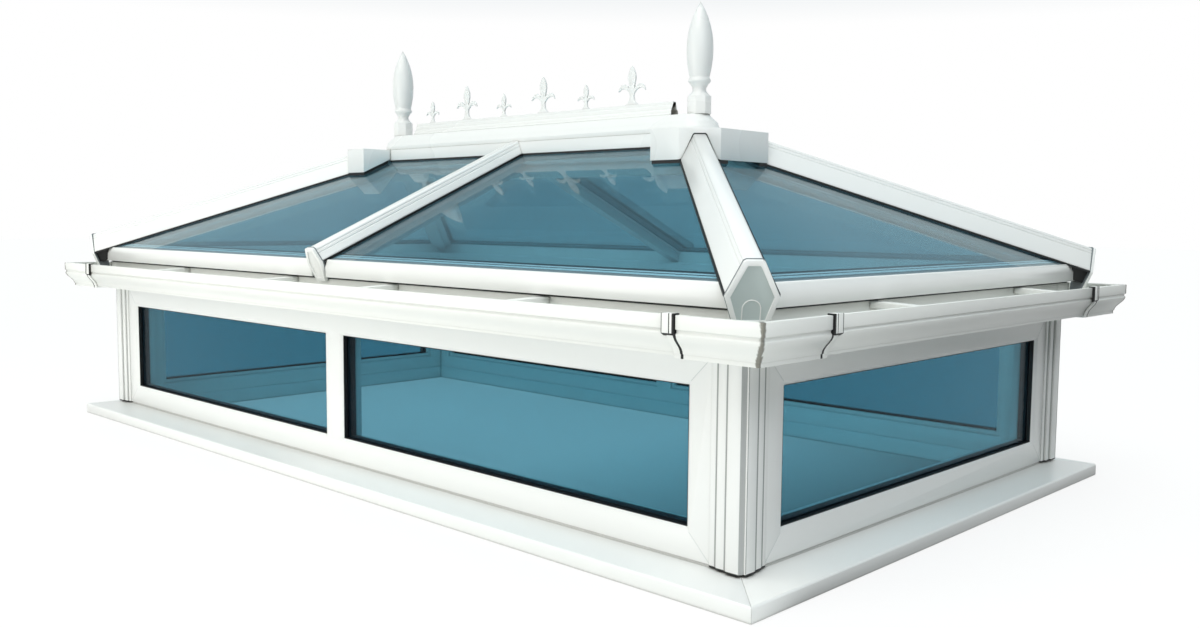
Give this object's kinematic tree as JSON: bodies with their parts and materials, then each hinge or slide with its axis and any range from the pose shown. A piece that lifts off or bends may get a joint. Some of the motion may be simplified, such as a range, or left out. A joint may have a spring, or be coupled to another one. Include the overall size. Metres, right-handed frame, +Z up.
{
  "type": "roof lantern",
  "caption": "White hipped roof lantern with a low glazed wall, blue tinted double glazing, ogee gutter, ridge cresting and leaf finials.",
  "frame": {"origin": "centre of the sill's underside", "axes": "+X along the long side, +Y towards the back long side, +Z up"},
  "size_m": [2.928, 1.673, 1.251],
  "materials": {
    "white_upvc": "satin",
    "gutter_upvc": "satin",
    "end_cap": "satin",
    "powder_coat": "satin",
    "wall_glass": "gloss",
    "roof_glass": "gloss",
    "spacer_bar": "satin",
    "gasket": "matte"
  },
  "bodies": {
    "root": {"bar_caps": "white_upvc", "boss_seals": "gasket", "corner_posts": "white_upvc", "cresting": "white_upvc", "eaves_beam_back": "powder_coat", "eaves_beam_front": "powder_coat", "eaves_beam_left": "powder_coat", "eaves_beam_right": "powder_coat", "eaves_trims": "white_upvc", "end_caps": "end_cap", "finial_left": "white_upvc", "finial_right": "white_upvc", "glazing_beads": "white_upvc", "gutter_back": "gutter_upvc", "gutter_brackets": "gutter_upvc", "gutter_corners": "gutter_upvc", "gutter_front": "gutter_upvc", "gutter_left": "gutter_upvc", "gutter_right": "gutter_upvc", "gutter_straps": "gutter_upvc", "hip_caps": "white_upvc", "rafters": "powder_coat", "ridge_beam": "powder_coat", "ridge_boss_left": "white_upvc", "ridge_boss_right": "white_upvc", "ridge_cap": "white_upvc", "ridge_wings": "white_upvc", "roof_gaskets": "gasket", "roof_glass_back": "roof_glass", "roof_glass_front": "roof_glass", "roof_glass_left": "roof_glass", "roof_glass_right": "roof_glass", "sill_back": "white_upvc", "sill_front": "white_upvc", "sill_left": "white_upvc", "sill_right": "white_upvc", "spacer_bars": "spacer_bar", "wall_glass_back": "wall_glass", "wall_glass_front": "wall_glass", "wall_glass_left": "wall_glass", "wall_glass_right": "wall_glass", "window_back": "white_upvc", "window_front": "white_upvc", "window_left": "white_upvc", "window_right": "white_upvc"}
  },
  "joints": []
}
